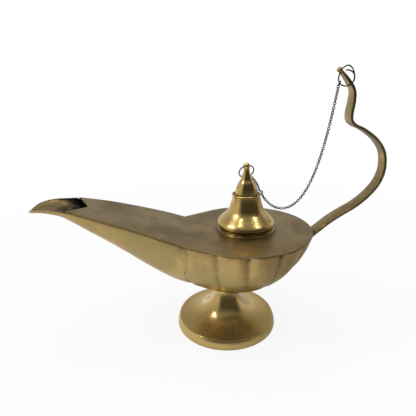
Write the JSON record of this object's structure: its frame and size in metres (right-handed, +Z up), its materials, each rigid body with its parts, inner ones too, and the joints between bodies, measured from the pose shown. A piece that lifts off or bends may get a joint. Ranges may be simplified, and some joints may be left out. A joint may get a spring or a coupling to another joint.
{
  "type": "oil lamp",
  "caption": "Brass genie-style oil lamp: lobed bowl on a trumpet foot, long spout with open beak, bell neck, lift-out stopper, strap handle, ring at its tip and a fine chain to the stopper.",
  "frame": {"origin": "centre of the foot's underside, on the surface that the lamp stands on", "axes": "+Z up, -X along the spout, +X towards the handle; the XZ plane is the lamp's plane of symmetry apart from its rings, chain and wick"},
  "size_m": [0.3485, 0.133, 0.2624],
  "materials": {
    "polished_brass": "turned and polished brass, lightly tarnished",
    "body_brass": "worked sheet brass, uneven tarnish",
    "plate_brass": "dull sheet brass, brown-olive tarnish",
    "handle_brass": "cast bar, worn, dark in its edges",
    "dark_wire": "tarnished brass wire, dark brown",
    "screw_steel": "turned steel",
    "seal_fibre": "red-brown vulcanised fibre",
    "wick_cotton": "braided cotton, charred at the lit end"
  },
  "bodies": {
    "lamp": {"foot": "polished_brass", "foot_screw": "screw_steel", "sealing_washer": "seal_fibre", "bowl": "body_brass", "spout": "body_brass", "top_plate": "plate_brass", "neck_collar": "polished_brass", "handle": "handle_brass", "wick": "wick_cotton", "chain_upper": "dark_wire", "chain_middle": "dark_wire"},
    "stopper": {"stopper_cap": "polished_brass", "finial": "polished_brass", "chain_lower": "dark_wire"},
    "finial_ring": {"finial_ring": "dark_wire"},
    "handle_ring": {"handle_ring": "dark_wire", "connector_ring": "dark_wire"}
  },
  "joints": [
    {"name": "stopper_lift", "type": "slide", "parent": "lamp", "child": "stopper", "axis": [0, 0, 1], "range_m": [0, 0.04], "deforming": ["chain_middle"]},
    {"name": "finial_ring_swing", "type": "hinge", "parent": "stopper", "child": "finial_ring", "pos_m": [0.0206, 0, 0.1725], "axis": [0.9781, 0.2079, 0], "range_deg": [0, 60], "deforming": ["chain_lower"]},
    {"name": "handle_ring_swing", "type": "hinge", "parent": "lamp", "child": "handle_ring", "pos_m": [0.10432, 0, 0.2572], "axis": [-0.7397, 0, -0.673], "range_deg": [0, 60], "deforming": ["chain_upper"]}
  ]
}
